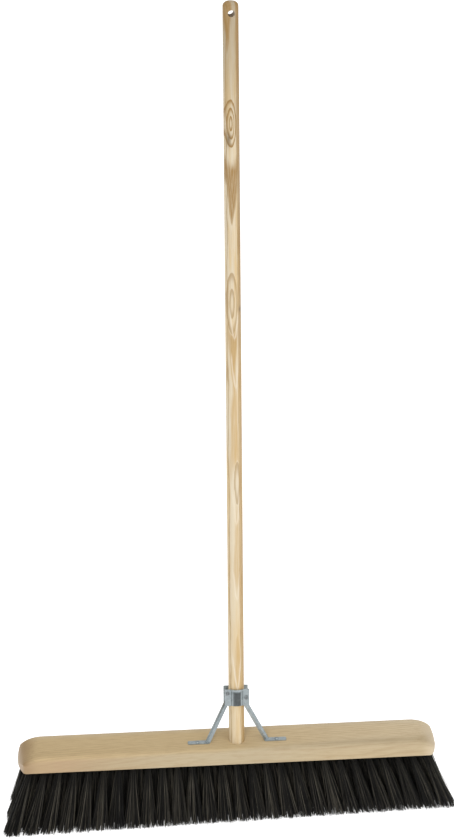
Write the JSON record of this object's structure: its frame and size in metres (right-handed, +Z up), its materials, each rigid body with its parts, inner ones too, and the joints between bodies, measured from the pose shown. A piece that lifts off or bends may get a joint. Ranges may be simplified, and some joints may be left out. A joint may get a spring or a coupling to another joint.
{
  "type": "push broom",
  "caption": "Push broom: wide wooden head with rows of stiff dark bristles, a long leaning round wooden handle with a hanging hole, and a bolted two-piece steel brace.",
  "frame": {"origin": "centre of the sweeping face, at the bristle tips under the middle of the head", "axes": "+X along the head, +Z up, the handle leans towards +Y"},
  "size_m": [0.8167, 0.5503, 1.4229],
  "materials": {
    "block_wood": "satin",
    "handle_wood": "satin",
    "stay_steel": "galvanised",
    "fastener_steel": "zinc plated",
    "bristle": "matte",
    "staple_wire": "plain"
  },
  "bodies": {
    "head": {"head_block": "block_wood", "front_stay": "stay_steel", "rear_stay": "stay_steel", "clamp_bolt_left": "fastener_steel", "clamp_bolt_right": "fastener_steel", "clamp_washer_left": "fastener_steel", "clamp_washer_right": "fastener_steel", "foot_screw_left": "fastener_steel", "foot_screw_right": "fastener_steel", "tufts_row_1": "bristle", "tuft_staples_row_1": "staple_wire", "tufts_row_2": "bristle", "tuft_staples_row_2": "staple_wire", "tufts_row_3": "bristle", "tuft_staples_row_3": "staple_wire", "tufts_row_4": "bristle", "tuft_staples_row_4": "staple_wire", "tufts_row_5": "bristle", "tuft_staples_row_5": "staple_wire"},
    "handle": {"handle": "handle_wood"},
    "left_nut": {"clamp_nut_left": "fastener_steel"},
    "right_nut": {"clamp_nut_right": "fastener_steel"}
  },
  "joints": [
    {"name": "handle_slide", "type": "slide", "parent": "head", "child": "handle", "axis": [0, 0.3518, 0.9361], "range_m": [0, 0.1]},
    {"name": "left_nut_turn", "type": "hinge", "parent": "head", "child": "left_nut", "pos_m": [-0.0008, 0.04071, 0.23264], "axis": [0, 0.9361, -0.3518], "range_deg": [0, 360]},
    {"name": "right_nut_turn", "type": "hinge", "parent": "head", "child": "right_nut", "pos_m": [0.0328, 0.03772, 0.22468], "axis": [0, 0.9361, -0.3518], "range_deg": [0, 360]}
  ]
}
